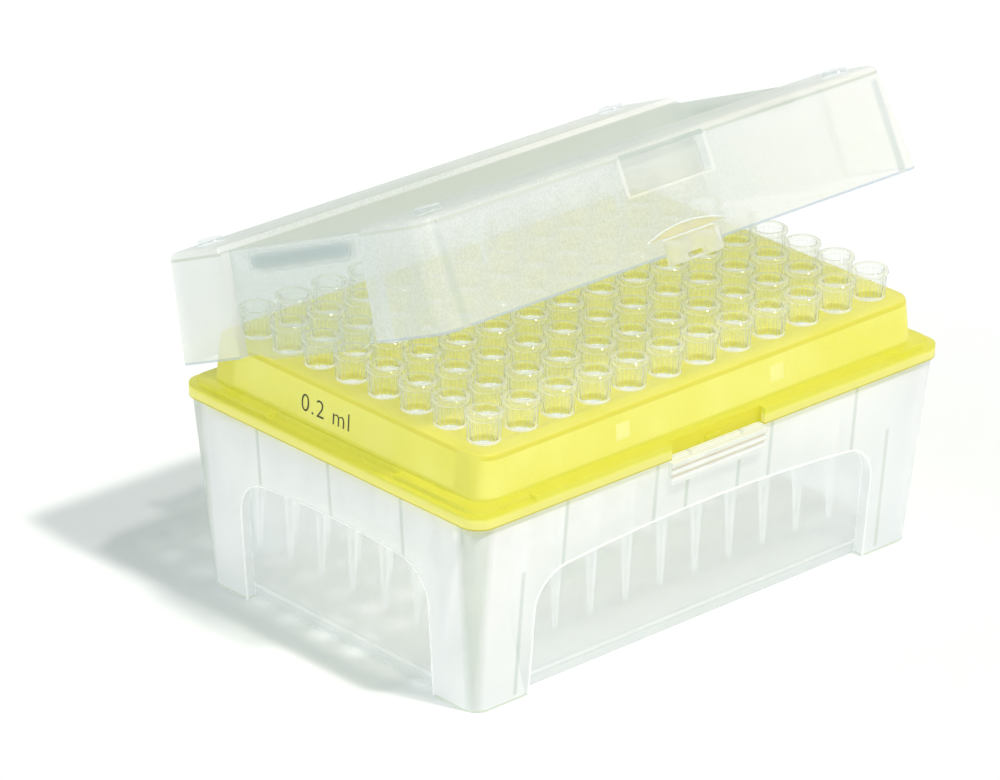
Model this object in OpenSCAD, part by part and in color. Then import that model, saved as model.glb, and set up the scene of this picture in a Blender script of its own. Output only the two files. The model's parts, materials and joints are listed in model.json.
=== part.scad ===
// Hinged rack box for 96 pipette tips: frosted base and lid, coloured tray, loose tips.
// The origin is the middle of the footprint on the table; X runs along the box, the hinge is at +Y.

/* [Tip grid] */
// Distance between neighbouring tips
tip_pitch = 9; // [8.6:0.1:9.6]
// Plateau beyond the last tip's centre, at the short ends
edge_end = 6.1; // [5.4:0.1:8]
// Plateau beyond the last tip's centre, along the long sides
edge_side = 6.4; // [5.4:0.1:8]

/* [Tips] */
// Length of a tip
tip_len = 49.3; // [45:0.1:56]
// Outer diameter of the rim
tip_rim_d = 7.2; // [6.8:0.1:7.6]
// Height of the rim band
tip_rim_h = 0.9; // [0.6:0.1:1.4]
// Height of the collar that stands above the tray
tip_collar_h = 5.7; // [5:0.1:7]
// Collar diameter under the rim
tip_collar_d = 6.4; // [6:0.1:6.7]
// Diameter of the ring that seats on the tray
tip_seat_d = 6.3; // [5.9:0.1:6.6]
// Height of that ring
tip_seat_h = 0.6; // [0.4:0.1:0.9]
// Body diameter just under the tray
tip_body_d = 5; // [4.7:0.1:5.2]
// Diameter at the fine end
tip_end_d = 1; // [0.9:0.05:1.4]
// Bore of the mouth that takes the pipette
tip_mouth_d = 5.4; // [5.1:0.1:5.5]
// Straight length of that bore
tip_mouth_h = 4.2; // [3.5:0.1:4.6]
// Wall of the tapered body
tip_wall = 0.42; // [0.35:0.01:0.5]
// Orifice at the fine end
tip_orifice_d = 0.5; // [0.4:0.05:0.6]

/* [Tray] */
// Thickness of the plateau that holds the tips
plateau_t = 1.5; // [1.2:0.1:2.2]
// Wall of the raised block and of the locating skirt
tray_wall = 1.3; // [1:0.1:1.6]
// Height of the raised block over its ledge
block_h = 8.9; // [7.5:0.1:11]
// Slope of the block's walls, foot to top
block_draft = 0.6; // [0.3:0.1:1.2]
// Corner radius of the block
block_r = 4.2; // [2.5:0.1:4.5]
// Rounding of the block's top edge
block_edge = 0.7; // [0.3:0.1:0.8]
// Thickness of the flange at its outer face
flange_t = 2.4; // [2:0.1:3.2]
// Rise of the inner ledge over the flange's outer strip
ledge_rise = 0.9; // [0.5:0.1:1.4]
// Width of the outer strip, one step below the ledge
strip_w = 1.4; // [1.2:0.1:1.5]
// Ledge from the block to the flange edge, at the short ends
ledge_end = 4.1; // [3.8:0.1:6]
// Ledge from the block to the flange edge, along the long sides
ledge_side = 3.1; // [2.9:0.1:5]
// Corner radius of the flange
flange_r = 4.1; // [3.6:0.1:6]
// Length of the flange notch behind the latch
notch_l = 24; // [22:0.1:27]
// Depth of that notch
notch_d = 1.7; // [1.6:0.1:1.9]
// Length of the raised bars beside the notch
bar_l = 34; // [20:0.5:35]
// Depth of the skirt that locates the tray in the base
skirt_h = 2.6; // [1.8:0.1:3.4]
// Side of the small square windows in the block
window_side = 4.2; // [3:0.1:5]
// Distance between those windows
window_gap = 39.6; // [30:0.2:60]
// Shift of the pair of windows from the middle
window_shift = -1.5; // [-4:0.1:4]
// Wall left at the windows, thinned from inside
window_wall = 0.5; // [0.3:0.05:0.9]
// Clearance of a tip's body in its hole
hole_clear = 0.16; // [0.1:0.01:0.3]
// Clearance of the skirt in the base
skirt_clear = 0.25; // [0.15:0.01:0.4]

/* [Base] */
// Wall of the base
base_wall = 1.5; // [1.2:0.1:1.8]
// Floor thickness
floor_t = 1.4; // [1.1:0.1:2]
// Height of the floor over the table
floor_lift = 1.5; // [1:0.1:2.5]
// Gap between the tip ends and the floor
tip_end_gap = 4.7; // [4.4:0.1:8]
// How far the flange stands over the base's rim
flange_over = 0.7; // [0.3:0.1:1.2]
// Slope of the end walls, foot to rim
draft_end = 2.65; // [1.5:0.05:3.2]
// Slope of the side walls, foot to rim
draft_side = 3.25; // [1.5:0.05:3.6]
// Corner radius of the base
base_r = 3.4; // [2.5:0.1:4]
// Depth of the arched panels in the long sides
panel_side = 2.4; // [2:0.1:3.2]
// Depth of the arched panels in the short ends
panel_end = 2; // [1.5:0.1:2.8]
// Lift of the panels' lower edges over the feet
panel_lift = 0.1; // [0.1:0.1:1]
// Wall of the arched panels
panel_wall = 1.1; // [0.9:0.1:1.3]
// Length of the long arches at their feet
arch_long_l = 87.6; // [70:0.2:96]
// Crown height of the long arches
arch_long_h = 27.2; // [20:0.1:30]
// Length of the short arches at their feet
arch_short_l = 53; // [36:0.2:58]
// Crown height of the short arches
arch_short_h = 27.6; // [20:0.1:30]
// Fall of an arch's crown at its shoulders, as part of its length
arch_fall = 0.03; // [0.01:0.005:0.06]
// Radius of the arch shoulders
arch_r = 8; // [5:0.5:12]
// Thickness of the ribs inside the walls
rib_t = 0.9; // [0.7:0.1:1.4]
// Depth of the ribs inside the walls
rib_d = 1.4; // [0.8:0.1:1.6]
// Distance of the inner ribs of a long wall from its middle
rib_inner = 6.7; // [4:0.1:9]
// Distance of the middle ribs of a long wall from its middle
rib_middle = 14.8; // [11:0.1:20]
// Distance of the outer ribs of a long wall from its middle
rib_outer = 37.4; // [25:0.1:40]
// Distance of the foot ribs, beside the long arches, from the middle
rib_foot = 47.2; // [46.4:0.1:49]
// Height of the foot ribs over the table
rib_foot_h = 26.6; // [15:0.1:32]
// Distance of the ribs of a short wall from the one in its middle
rib_end = 20.1; // [14:0.1:24]
// Length of the catch on the front
catch_l = 24.4; // [16:0.2:30]
// Height of the catch
catch_h = 4.5; // [3.6:0.1:7]
// How far the catch stands out
catch_out = 1.4; // [1:0.1:2.2]
// Depth of the grooves across the catch
catch_groove = 0.5; // [0.3:0.1:0.7]

/* [Lid] */
// Wall of the lid
lid_wall = 1.2; // [1:0.05:1.4]
// How far the lid stands over the flange at the short ends
lid_over_end = 0.4; // [0:0.1:0.8]
// How far the lid stands in from the flange along the long sides
lid_in_side = 0.9; // [0.7:0.1:1]
// Gap under the lid's rim when it is shut
lid_seat_gap = 0.2; // [0.15:0.05:0.5]
// Free height over the tips when the lid is shut
lid_headroom = 4.1; // [3.5:0.1:8]
// Slope of the lid's walls, rim to top
lid_draft = 1.9; // [1:0.1:2.4]
// Corner radius of the lid
lid_r = 3.6; // [2.8:0.1:5]
// Rounding of the lid's top edge
lid_edge_r = 1; // [0.6:0.1:1.4]
// Width of the sunk channel along the top
channel_w = 43; // [30:0.5:50]
// Depth of that channel
channel_d = 1.2; // [0.6:0.1:1.6]
// Width of the sunk window in each short end
grip_w = 41.6; // [30:0.2:50]
// Depth of that window
grip_d = 2; // [1.2:0.1:2.3]
// Drop of the window's lower edge at its middle
grip_dip = 0.9; // [0.4:0.1:1]
// Length of the pocket in the front
pocket_l = 20.6; // [14:0.2:26]
// Height of the pocket
pocket_h = 7; // [5:0.1:7.6]
// Depth of the pocket
pocket_d = 2.1; // [1.4:0.1:2.2]
// Length of the latch tab
tab_l = 13; // [9:0.1:15]
// Height of the latch tab
tab_h = 4.9; // [4:0.1:6]
// How far the tab stands out
tab_out = 1.1; // [0.8:0.1:1.4]
// How far the tab hangs below the rim
tab_drop = 1.9; // [1.2:0.1:2]
// Length of the thumb scoop over the tab
scoop_l = 20.8; // [17:0.2:28]
// Height of the thumb scoop
scoop_h = 1.9; // [1.2:0.1:3]
// Depth of the thumb scoop
scoop_d = 0.6; // [0.4:0.05:0.65]
// Diameter of the stacking studs
stud_d = 5.6; // [4:0.1:7]
// Height of the stacking studs
stud_h = 1; // [0.6:0.1:1.6]
// Distance between the studs along the lid
stud_gap_l = 103; // [90:0.5:108]
// Distance between the studs across the lid
stud_gap_w = 66; // [62:0.5:68]
// Place of the gussets from the lid's middle
gusset_x = 45; // [30:0.5:50]
// Height of the gussets
gusset_h = 10; // [6:0.5:12]

/* [Hinge] */
// Axis of the hinge behind the flange's edge
hinge_back = 4.4; // [4.3:0.1:6]
// Axis of the hinge below the flange's top
hinge_drop = 0.3; // [0:0.1:0.8]
// Diameter of the hinge pins
hinge_pin_d = 3; // [2.4:0.1:3.2]
// Running clearance round the pins
hinge_clear = 0.06; // [0.03:0.01:0.1]
// Wall of the eyes round the pins
hinge_eye = 1.5; // [1.2:0.1:1.6]
// Width of a lid arm
hinge_arm_w = 9; // [6:0.5:14]
// Side gap between an arm and its lugs
hinge_gap = 0.4; // [0.3:0.05:0.8]
// Thickness of a lug
hinge_lug_t = 2.2; // [1.6:0.1:3]
// Distance between the two hinges
hinge_spread = 64; // [40:1:84]
// Angle of the lid, open from shut
lid_open = 22.4; // [0:0.1:105]

/* [Hidden] */
tip_cols = 12;
tip_rows = 8;
fine = 64;
hull_fn = 32;
skin = 0.02;
over = 1;
half_turn = 180;
arc_gap = 1;

// plan sizes, worked outwards from the tip grid
plateau_l = (tip_cols - 1) * tip_pitch + 2 * edge_end;
plateau_w = (tip_rows - 1) * tip_pitch + 2 * edge_side;
block_l = plateau_l + 2 * block_draft;
block_w = plateau_w + 2 * block_draft;
flange_l = block_l + 2 * ledge_end;
flange_w = block_w + 2 * ledge_side;
rim_l = flange_l - 2 * flange_over;
rim_w = flange_w - 2 * flange_over;
foot_l = rim_l - 2 * draft_end;
foot_w = rim_w - 2 * draft_side;
lid_l = flange_l + 2 * lid_over_end;
lid_w = flange_w - 2 * lid_in_side;

// heights over the table
floor_z = floor_lift + floor_t;
tip_end_z = floor_z + tip_end_gap;
plateau_z = tip_end_z + tip_len - tip_collar_h;
tip_top_z = plateau_z + tip_collar_h;
ledge_z = plateau_z - block_h;
flange_z = ledge_z - ledge_rise;
base_h = flange_z - flange_t;
lid_z = ledge_z + lid_seat_gap;
lid_h = tip_top_z - lid_z + lid_headroom + lid_wall + channel_d;

// slopes and the hinge axis
lean_side = atan(draft_side / base_h);
lean_end = atan(draft_end / base_h);
lid_lean = atan(lid_draft / lid_h);
hinge_y = flange_w / 2 + hinge_back;
hinge_z = flange_z - hinge_drop;
eye_r = hinge_pin_d / 2 + hinge_clear + hinge_eye;

// latch
pocket_top = lid_h - lid_edge_r - 0.3;
scoop_z = tab_h - tab_drop + 0.2;
lip_l = grip_w - 8.6;
nib_l = 4;
nib_h = 1;
nib_out = 0.3;

// outline with round corners
module plan(l, w, r, fn = fine) {
    square([l - 2 * r, w], center = true);
    square([l, w - 2 * r], center = true);
    for (sx = [-1, 1], sy = [-1, 1])
        translate([sx * (l / 2 - r), sy * (w / 2 - r)])
            circle(r, $fn = fn);
}

// thin sheet of that outline at a height, the stuff of the sloped shells
module sheet(l, w, r, z) {
    translate([0, 0, z])
        linear_extrude(skin)
            plan(l, w, r, hull_fn);
}

// straight prism of that outline between two heights
module prism(l, w, r, z0, z1) {
    translate([0, 0, z0])
        linear_extrude(z1 - z0)
            plan(l, w, r);
}

// moves to a wall: x along it, -y out of it, z up its slope
module on_wall(turn, dist, lean) {
    rotate([0, 0, turn])
        translate([0, -dist, 0])
            rotate([lean, 0, 0])
                children();
}

// flat outline stood up on a wall, cut or filled from depth d0 in to depth d1 out
module on_face(d_in, d_out) {
    translate([0, d_in, 0])
        rotate([90, 0, 0])
            linear_extrude(d_in + d_out)
                children();
}

// ---- base

// points on an arc, from one angle to another
function arc(cx, cy, r, from, to, steps) =
    [for (i = [0 : steps]) let (a = from + (to - from) * i / steps) [cx + r * cos(a), cy + r * sin(a)]];

// arched outline with a crowned top and round shoulders, open below
module arch(l, h, grow = 0) {
    fall = arch_fall * l;
    crown = (l * l / 4 + fall * fall) / (2 * fall);
    sx = l / 2 - arch_r;
    sy = h - crown + sqrt((crown - arch_r) * (crown - arch_r) - sx * sx);
    turn = acos(sx / (crown - arch_r));
    polygon(concat([[l / 2 + grow, -3 * arch_r]],
                   arc(sx, sy, arch_r + grow, 0, turn, 8),
                   arc(0, h - crown, crown + grow, turn + arc_gap, half_turn - arc_gap - turn, 15),
                   arc(-sx, sy, arch_r + grow, half_turn - turn, half_turn, 8),
                   [[-l / 2 - grow, -3 * arch_r]]));
}

module base_outer(cut = 0) {
    hull() {
        sheet(foot_l - 2 * cut, foot_w - 2 * cut, base_r - cut / 2, 0);
        sheet(rim_l - 2 * cut, rim_w - 2 * cut, base_r - cut / 2, base_h - skin);
    }
}

// all four arched panels, grown sideways and pushed in
module arches(grow, out) {
    for (turn = [0, 180])
        on_wall(turn, foot_w / 2, lean_side)
            on_face(panel_side + grow, out)
                arch(arch_long_l, arch_long_h, grow);
    for (turn = [90, 270])
        on_wall(turn, foot_l / 2, lean_end)
            on_face(panel_end + grow, out)
                arch(arch_short_l, arch_short_h, grow);
}

// one rib on the inside of a wall, between two heights
module rib(x, low, high) {
    translate([x - rib_t / 2, base_wall - 0.2, low])
        cube([rib_t, rib_d + 0.2, high - low]);
}

// stiffening ribs from the arches up to the tray's skirt, and beside the long arches
module wall_ribs() {
    top = base_h - skirt_h - 2 * skirt_clear;
    low = min(arch_long_h, arch_short_h) - arch_r;
    difference() {
        union() {
            for (turn = [0, 180], x = [rib_inner, rib_middle, rib_outer], s = [-1, 1])
                on_wall(turn, foot_w / 2, lean_side)
                    rib(s * x, low, top);
            for (turn = [0, 180], s = [-1, 1])
                on_wall(turn, foot_w / 2, lean_side)
                    rib(s * rib_foot, floor_lift + floor_t / 2, rib_foot_h);
            for (turn = [90, 270], s = [-1, 0, 1])
                on_wall(turn, foot_l / 2, lean_end)
                    rib(s * rib_end, low, top);
        }
        arches(0, 3 * over);
    }
}

// strike for the latch: a block across the front with grooves along it
module catch_block() {
    on_wall(0, foot_w / 2, lean_side)
        translate([-catch_l / 2, -catch_out, base_h - catch_h - 0.3])
            difference() {
                cube([catch_l, catch_out + base_wall / 2, catch_h]);
                for (i = [1, 2])
                    translate([-over, 0, i * catch_h / 3])
                        rotate([0, 90, 0])
                            cylinder(h = catch_l + 2 * over, r = catch_groove, $fn = fine);
            }
}

// side view of a hinge lug, y to the right and z up
module lug_side() {
    union() {
        translate([hinge_y, hinge_z])
            circle(eye_r, $fn = fine);
        polygon([[rim_w / 2 - base_wall / 2, base_h - 8],
                 [rim_w / 2 - base_wall / 2, base_h - 0.1],
                 [flange_w / 2 + 0.5, base_h - 0.1],
                 [hinge_y, hinge_z + eye_r],
                 [hinge_y, hinge_z - eye_r]]);
    }
}

// turns a side view in y and z into a slab across x
module side_slab(x0, width) {
    translate([x0, 0, 0])
        rotate([90, 0, 90])
            linear_extrude(width)
                children();
}

module base_hinge() {
    inner = hinge_arm_w / 2 + hinge_gap;
    for (c = [-1, 1]) {
        for (s = [-1, 1])
            side_slab(c * hinge_spread / 2 + s * (inner + hinge_lug_t / 2) - hinge_lug_t / 2, hinge_lug_t)
                lug_side();
        translate([c * hinge_spread / 2 - inner - hinge_lug_t / 2, hinge_y, hinge_z])
            rotate([0, 90, 0])
                cylinder(h = 2 * inner + hinge_lug_t, r = hinge_pin_d / 2, $fn = fine);
    }
}

module base() {
    color([0.93, 0.95, 0.93, 0.6]) {
        difference() {
            base_outer();
            difference() {
                base_outer(base_wall);
                arches(panel_wall, over);
                translate([-foot_l / 2, -foot_w / 2, floor_lift])
                    cube([foot_l, foot_w, floor_t]);
            }
            arches(0, 3 * over);
            translate([-arch_long_l / 2 - 0.7, -foot_w, -over])
                cube([arch_long_l + 1.4, 2 * foot_w, over + panel_lift]);
            translate([-foot_l, -arch_short_l / 2 - 0.7, -over])
                cube([2 * foot_l, arch_short_l + 1.4, over + panel_lift]);
        }
        wall_ribs();
        catch_block();
        base_hinge();
    }
}

// ---- tray

module tip_holes() {
    for (c = [0 : tip_cols - 1], r = [0 : tip_rows - 1])
        translate([(c - (tip_cols - 1) / 2) * tip_pitch, (r - (tip_rows - 1) / 2) * tip_pitch])
            circle(tip_body_d / 2 + hole_clear, $fn = fine);
}

// flange with its strip, inner ledge, bars, notches and the slots for the lid's windows
module tray_flange() {
    inner_l = flange_l - 2 * strip_w;
    inner_w = flange_w - 2 * strip_w;
    slot_l = lip_l + 2;
    slot_w = ledge_end - strip_w - 0.8;
    difference() {
        union() {
            prism(flange_l, flange_w, flange_r, base_h, flange_z);
            prism(inner_l, inner_w, flange_r - strip_w / 2, base_h, ledge_z);
            for (sx = [-1, 1], sy = [-1, 1])
                translate([sx * (notch_l + bar_l) / 2 - bar_l / 2, sy * (flange_w - 2 * strip_w) / 2 - strip_w, base_h])
                    cube([bar_l, 2 * strip_w, ledge_z - base_h]);
        }
        prism(block_l - 2 * tray_wall, block_w - 2 * tray_wall, block_r / 2, base_h - over, ledge_z + over);
        for (s = [-1, 1]) {
            translate([-notch_l / 2, s * flange_w / 2 - notch_d, base_h - over])
                cube([notch_l, 2 * notch_d, ledge_z - base_h + 2 * over]);
            translate([s * (inner_l / 2 - slot_w / 2) - slot_w / 2, -slot_l / 2, flange_z - 0.2])
                cube([slot_w, slot_l, ledge_rise + over]);
        }
    }
    translate([-nib_l / 2, notch_d - flange_w / 2 - nib_out, base_h + 0.6])
        cube([nib_l, nib_out + 0.5, nib_h]);
}

// skirt that drops inside the base
module tray_skirt() {
    gap = base_wall + skirt_clear;
    skirt_l = rim_l - 2 * gap - 2 * draft_end * skirt_h / base_h;
    skirt_w = rim_w - 2 * gap - 2 * draft_side * skirt_h / base_h;
    difference() {
        prism(skirt_l, skirt_w, base_r - base_wall / 2, base_h - skirt_h, base_h + flange_t / 2);
        prism(skirt_l - 2 * tray_wall, skirt_w - 2 * tray_wall, base_r - base_wall, base_h - skirt_h - over, base_h);
        prism(block_l - 2 * tray_wall, block_w - 2 * tray_wall, block_r / 2, base_h - over, ledge_z);
    }
}

module block_outer(cut = 0, top = plateau_z) {
    hull() {
        sheet(block_l - 2 * cut, block_w - 2 * cut, block_r - cut, ledge_z - skin);
        sheet(plateau_l - 2 * cut, plateau_w - 2 * cut, block_r - cut, top - block_edge);
        for (fall = [0.3, 0])
            let (turn = acos(1 - fall), in = cut + block_edge * (1 - sin(turn)))
                sheet(plateau_l - 2 * in, plateau_w - 2 * in, block_r - in, top - fall * block_edge - skin);
    }
}

module tip_tray() {
    under = plateau_z - plateau_t;
    color([0.93, 0.92, 0.25]) {
        difference() {
            block_outer();
            block_outer(tray_wall, under);
            translate([0, 0, under - over])
                linear_extrude(plateau_t + 2 * over)
                    tip_holes();
            intersection() {
                block_outer(window_wall, under);
                for (s = [-1, 1])
                    translate([window_shift + s * window_gap / 2 - window_side / 2, -block_w, ledge_z + 2.2])
                        cube([window_side, 2 * block_w, window_side - 0.4]);
            }
        }
        tray_flange();
        tray_skirt();
    }
}

// ---- lid, drawn shut and about its own rim, then swung open

module lid_outer(cut = 0) {
    hull() {
        sheet(lid_l - 2 * cut, lid_w - 2 * cut, lid_r - cut / 2, -cut);
        for (a = [0, 30, 60, 90]) {
            z = lid_h - cut - lid_edge_r * (1 - sin(a));
            in = lid_draft * z / lid_h + cut + lid_edge_r * (1 - cos(a));
            sheet(lid_l - 2 * in, lid_w - 2 * in, lid_r - cut / 2 - lid_edge_r * (1 - cos(a)) / 2, z - skin);
        }
    }
}

// sunk windows in the short ends
module grips(grow) {
    for (turn = [90, 270])
        on_wall(turn, lid_l / 2, -lid_lean)
            on_face(grip_d + grow, 3 * over)
                translate([-grip_w / 2 - grow, -3 * over])
                    square([grip_w + 2 * grow, lid_h + 6 * over]);
}

// sunk channel along the top
module channel(grow) {
    half = channel_w / 2;
    depth = channel_d + grow;
    side_slab(-lid_l, 2 * lid_l)
        polygon([[-half - grow - depth / 2, lid_h + over],
                 [-half - grow - depth / 2, lid_h],
                 [-half - grow, lid_h - depth],
                 [half + grow, lid_h - depth],
                 [half + grow + depth / 2, lid_h],
                 [half + grow + depth / 2, lid_h + over]]);
}

module pocket(grow) {
    on_wall(0, lid_w / 2, -lid_lean)
        on_face(pocket_d + grow, 3 * over)
            translate([-pocket_l / 2 - grow, pocket_top - pocket_h - grow])
                square([pocket_l + 2 * grow, pocket_h + 2 * grow]);
}

// half-moon hollow over the latch tab
module scoop() {
    r = (scoop_l * scoop_l / 4 + scoop_h * scoop_h) / (2 * scoop_h);
    on_wall(0, lid_w / 2, -lid_lean)
        on_face(scoop_d, 3 * over)
            intersection() {
                translate([-scoop_l / 2, scoop_z])
                    square([scoop_l, scoop_h]);
                translate([0, scoop_z + scoop_h - r])
                    circle(r, $fn = 180);
            }
}

// latch tab on the front: grip on the wall, hook window and a foot below the rim
module latch() {
    face = -lid_w / 2 - tab_out;
    difference() {
        side_slab(-tab_l / 2, tab_l)
            polygon([[face + 0.3, -tab_drop],
                     [face, 0.4 - tab_drop],
                     [face + 0.35, scoop_z - 0.5],
                     [-lid_w / 2 + lid_wall / 2, scoop_z - 0.2],
                     [-lid_w / 2 + lid_wall / 2, 0],
                     [-lid_w / 2 + 0.3, 0],
                     [-lid_w / 2 + 0.3, -tab_drop]]);
        translate([-nib_l / 2 - 0.4, face - over, -tab_drop + 0.5])
            cube([nib_l + 0.8, 2 * over + tab_out, 1]);
    }
}

// lip that lowers a window's edge at its middle
module grip_lips() {
    for (turn = [90, 270])
        on_wall(turn, lid_l / 2, -lid_lean)
            on_face(grip_d + lid_wall, -grip_d)
                polygon([[-lip_l / 2, 0.5],
                         [-lip_l / 2, 0],
                         [3.5 - lip_l / 2, -grip_dip],
                         [lip_l / 2 - 3.5, -grip_dip],
                         [lip_l / 2, 0],
                         [lip_l / 2, 0.5]]);
}

// gussets inside the front and back walls
module gussets() {
    for (turn = [0, 180], x = [-1, 1])
        on_wall(turn, lid_w / 2, -lid_lean)
            translate([x * gusset_x - 0.5, lid_wall - 0.2, lid_h - lid_wall - gusset_h])
                cube([1, 1.2, gusset_h]);
}

module studs() {
    for (sx = [-1, 1], sy = [-1, 1])
        translate([sx * stud_gap_l / 2, sy * stud_gap_w / 2, lid_h - 0.2])
            cylinder(h = stud_h + 0.2, r1 = stud_d / 2, r2 = stud_d / 2 - 0.5, $fn = fine);
}

// bead along the top of the front and back walls
module beads() {
    for (turn = [0, 180])
        on_wall(turn, lid_w / 2, -lid_lean)
            translate([-lid_l / 2 + lid_draft + lid_r, -0.3, lid_h - lid_edge_r - 0.7])
                cube([lid_l - 2 * lid_draft - 2 * lid_r, 0.8, 0.8]);
}

module lid_arms() {
    ay = hinge_y;
    az = hinge_z - lid_z;
    wall_y = lid_w / 2;
    for (c = [-1, 1])
        difference() {
            side_slab(c * hinge_spread / 2 - hinge_arm_w / 2, hinge_arm_w)
                union() {
                    translate([ay, az])
                        circle(eye_r, $fn = fine);
                    polygon([[wall_y - lid_wall / 2, 0.4],
                             [flange_w / 2 + 0.6, 0.4],
                             [ay - eye_r * cos(30), az - eye_r * sin(30)],
                             [ay, az],
                             [ay + eye_r * cos(50), az + eye_r * sin(50)],
                             [wall_y - lid_wall, 6.5]]);
                }
            translate([c * hinge_spread / 2 - hinge_arm_w, ay, az])
                rotate([0, 90, 0])
                    cylinder(h = 2 * hinge_arm_w, r = hinge_pin_d / 2 + hinge_clear, $fn = fine);
        }
}

module lid() {
    translate([0, hinge_y, hinge_z])
        rotate([-lid_open, 0, 0])
            translate([0, -hinge_y, lid_z - hinge_z])
                color([0.9, 0.93, 0.9, 0.5]) {
                    difference() {
                        lid_outer();
                        channel(0);
                        grips(0);
                        pocket(0);
                        scoop();
                        difference() {
                            lid_outer(lid_wall);
                            channel(lid_wall);
                            grips(lid_wall);
                            pocket(lid_wall);
                        }
                    }
                    intersection() {
                        gussets();
                        lid_outer(lid_wall / 2);
                    }
                    latch();
                    grip_lips();
                    studs();
                    beads();
                    lid_arms();
                }
}

// ---- tips

module tip() {
    half_mouth = tip_mouth_d / 2;
    body_in = tip_body_d / 2 - tip_wall;
    rotate_extrude($fn = fine)
        polygon([[half_mouth, 0],
                 [tip_rim_d / 2, 0],
                 [tip_rim_d / 2, -tip_rim_h],
                 [tip_collar_d / 2, -tip_rim_h],
                 [tip_collar_d / 2 - 0.15, tip_seat_h - tip_collar_h],
                 [tip_seat_d / 2, tip_seat_h - tip_collar_h],
                 [tip_seat_d / 2, -tip_collar_h],
                 [tip_body_d / 2, -tip_collar_h],
                 [tip_end_d / 2, -tip_len],
                 [tip_orifice_d / 2, -tip_len],
                 [body_in, -tip_collar_h - 2],
                 [half_mouth, -tip_mouth_h]]);
}

module tips_column(c) {
    color([0.88, 0.92, 0.9, 0.6])
        for (r = [0 : tip_rows - 1])
            translate([(c - (tip_cols - 1) / 2) * tip_pitch, (r - (tip_rows - 1) / 2) * tip_pitch, tip_top_z])
                tip();
}

base();
tip_tray();
lid();
tips_column(0);  // tips_column_01
tips_column(1);  // tips_column_02
tips_column(2);  // tips_column_03
tips_column(3);  // tips_column_04
tips_column(4);  // tips_column_05
tips_column(5);  // tips_column_06
tips_column(6);  // tips_column_07
tips_column(7);  // tips_column_08
tips_column(8);  // tips_column_09
tips_column(9);  // tips_column_10
tips_column(10);  // tips_column_11
tips_column(tip_cols - 1);  // tips_column_12
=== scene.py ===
import bpy
import bmesh
import json
import math
from mathutils import Matrix, Vector


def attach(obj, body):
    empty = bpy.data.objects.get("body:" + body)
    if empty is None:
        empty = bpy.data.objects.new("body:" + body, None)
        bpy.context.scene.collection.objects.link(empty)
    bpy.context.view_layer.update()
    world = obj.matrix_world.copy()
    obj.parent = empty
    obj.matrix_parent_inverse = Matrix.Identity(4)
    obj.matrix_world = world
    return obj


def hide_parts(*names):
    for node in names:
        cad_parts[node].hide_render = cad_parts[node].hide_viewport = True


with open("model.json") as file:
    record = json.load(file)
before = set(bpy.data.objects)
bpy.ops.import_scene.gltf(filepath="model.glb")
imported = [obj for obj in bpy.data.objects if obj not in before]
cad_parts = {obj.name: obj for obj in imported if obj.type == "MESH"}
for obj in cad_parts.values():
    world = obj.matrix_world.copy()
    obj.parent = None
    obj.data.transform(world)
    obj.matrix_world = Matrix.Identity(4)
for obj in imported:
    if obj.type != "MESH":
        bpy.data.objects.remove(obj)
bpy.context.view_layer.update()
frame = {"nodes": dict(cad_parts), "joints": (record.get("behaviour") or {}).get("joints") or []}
nodes = frame["nodes"]
mm = 0.001
polypropylene = 1.49  # refractive index
colorA, colorB, colorOut = 6, 7, 2  # sockets of a Mix node that mixes colours


def linear(code):
    # sRGB hex code to linear colour
    parts = [int(code[i:i + 2], 16) / 255 for i in (1, 3, 5)]
    return tuple(c / 12.92 if c <= 0.04045 else ((c + 0.055) / 1.055) ** 2.4 for c in parts) + (1.0,)


def addNode(tree, kind, settings=None, links=None):
    # a link starts from a socket, or from the first output of a node
    node = tree.nodes.new(kind)
    for name, value in (settings or {}).items():
        if isinstance(name, int) or name in node.inputs:
            node.inputs[name].default_value = value
        else:
            setattr(node, name, value)
    for name, source in (links or {}).items():
        socket = source.outputs[0] if isinstance(source, bpy.types.Node) else source
        tree.links.new(socket, node.inputs[name])
    return node


def startMaterial(name):
    material = bpy.data.materials.new(name)
    material.use_nodes = True
    material.node_tree.nodes.clear()
    return material, material.node_tree


def inMillimetres(tree):
    place = addNode(tree, "ShaderNodeTexCoord")
    return addNode(tree, "ShaderNodeMapping", {"Scale": [1 / mm] * 3}, {"Vector": place.outputs["Object"]})


def asMarked(tree, place, look):
    # marks on a turned piece, the lid, are set out as it lies when shut
    if "turn" not in look:
        return place
    return addNode(tree, "ShaderNodeMapping", {"Location": look["shift"], "Rotation": (look["turn"], 0, 0)},
                   {"Vector": place})


def openShare(tree, look):
    # how much of a wall is open: one share for the eye, larger ones for lamps and for bounced light;
    # a wall scatters once, on the face that meets the air, so the way out of it is clear
    ray = addNode(tree, "ShaderNodeLightPath")
    lit = addNode(tree, "ShaderNodeMapRange", {"To Min": look["see"], "To Max": look["lamps"]},
                  {"Value": ray.outputs["Is Shadow Ray"]})
    loose = addNode(tree, "ShaderNodeMath", {"operation": "MAXIMUM"},
                    {0: ray.outputs["Is Diffuse Ray"], 1: ray.outputs["Is Glossy Ray"]})
    soft = addNode(tree, "ShaderNodeMath", {"operation": "MULTIPLY", 1: look["bounced"]}, {0: loose})
    most = addNode(tree, "ShaderNodeMath", {"operation": "MAXIMUM"}, {0: lit, 1: soft})
    inside = addNode(tree, "ShaderNodeNewGeometry")
    return addNode(tree, "ShaderNodeMath", {"operation": "MAXIMUM"},
                   {0: most, 1: inside.outputs["Backfacing"]})


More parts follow.
